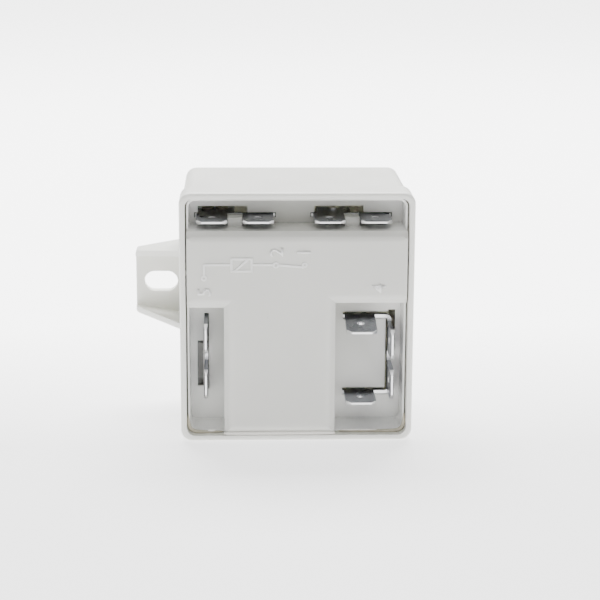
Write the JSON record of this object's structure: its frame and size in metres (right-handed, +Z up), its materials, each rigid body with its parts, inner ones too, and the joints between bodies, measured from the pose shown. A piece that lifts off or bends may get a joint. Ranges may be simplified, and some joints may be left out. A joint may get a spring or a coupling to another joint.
{
  "type": "compressor start relay",
  "caption": "Potential-type compressor start relay in a pale moulded case, with a recessed terminal header, push-on tabs and a slotted mounting ear.",
  "frame": {"origin": "centre of the flat back face of the case", "axes": "+Z up as it stands in the picture, terminals towards -Y, mounting ear towards -X"},
  "size_m": [0.0586, 0.0367, 0.0522],
  "materials": {
    "case_plastic": "satin moulded",
    "header_plastic": "satin moulded",
    "sealant": "dull amber sealant",
    "tinned_sheet": "tin plated",
    "plated_steel": "zinc plated",
    "copper": "bare copper",
    "bobbin_nylon": "nylon",
    "magnet_wire": "enamelled copper",
    "coil_tape": "polyester tape",
    "card_plastic": "moulded",
    "spring_steel": "drawn wire",
    "spring_bronze": "rolled",
    "brass": "turned",
    "silver_contact": "silver"
  },
  "bodies": {
    "relay": {"case": "case_plastic", "header": "header_plastic", "seal": "sealant", "terminal_1": "tinned_sheet", "terminal_2": "tinned_sheet", "terminal_4": "tinned_sheet", "terminal_5": "tinned_sheet", "yoke": "plated_steel", "core": "plated_steel", "shading_ring": "copper", "bobbin": "bobbin_nylon", "winding": "magnet_wire", "coil_tape": "coil_tape", "start_lead": "magnet_wire", "finish_lead": "magnet_wire", "return_spring": "spring_steel", "contact_blade": "spring_bronze", "blade_spacer": "brass", "blade_rivets": "brass", "fixed_contact": "silver_contact", "yoke_screw_left": "plated_steel", "yoke_screw_right": "plated_steel"},
    "armature": {"armature": "plated_steel", "card": "card_plastic"},
    "contact": {"moving_contact": "silver_contact"}
  },
  "joints": [
    {"name": "armature_hinge", "type": "hinge", "parent": "relay", "child": "armature", "pos_m": [-0.0036, -0.0058, 0.0073], "axis": [1, 0, 0], "range_deg": [0, 2.2], "stiffness_Nm_per_rad": 0.02, "springref_deg": -4.58, "deforming": ["return_spring", "contact_blade"]},
    {"name": "contact_swing", "type": "hinge", "parent": "relay", "child": "contact", "pos_m": [-0.0129, -0.0203, 0.01805], "axis": [0, 1, 0], "range_deg": [0, 3.43]}
  ],
  "couplings": [
    {"joint": "contact_swing", "follows": "armature_hinge", "ratio": 1.5595}
  ]
}
